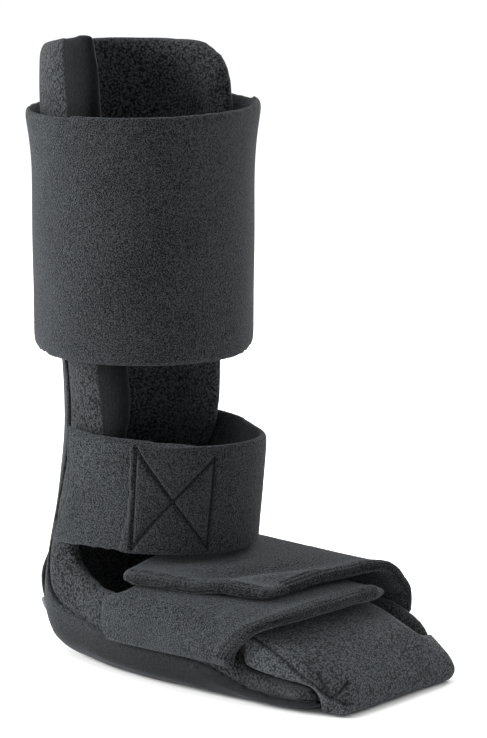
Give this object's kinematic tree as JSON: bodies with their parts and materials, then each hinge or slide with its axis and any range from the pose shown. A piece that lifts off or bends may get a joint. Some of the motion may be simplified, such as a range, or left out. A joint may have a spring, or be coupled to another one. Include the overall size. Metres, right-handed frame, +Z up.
{
  "type": "night splint for the foot and calf",
  "caption": "L-shaped padded cloth trough for the calf, heel and foot, closed by a broad calf wrap, an ankle strap and instep flaps, with a toe wedge.",
  "frame": {"origin": "on the floor, under the middle of the box round the whole splint", "axes": "+Z up along the calf, -Y towards the toes, -X the near side, where the ankle strap's tab closes"},
  "size_m": [0.155, 0.2832, 0.416],
  "materials": {
    "smooth_cloth": "brushed loop cloth over thin foam, dark grey",
    "plush": "coarse plush, dark grey",
    "webbing": "woven, near black",
    "slide": "matte grey"
  },
  "bodies": {
    "root": {"boot_cover": "smooth_cloth", "plush_liner": "plush", "calf_wrap": "smooth_cloth", "ankle_strap_near": "smooth_cloth", "ankle_strap_far": "smooth_cloth", "foot_flap_near": "smooth_cloth", "foot_flap_far": "smooth_cloth", "toe_wedge": "plush", "heel_webbing": "webbing", "heel_slide": "slide"}
  },
  "joints": []
}
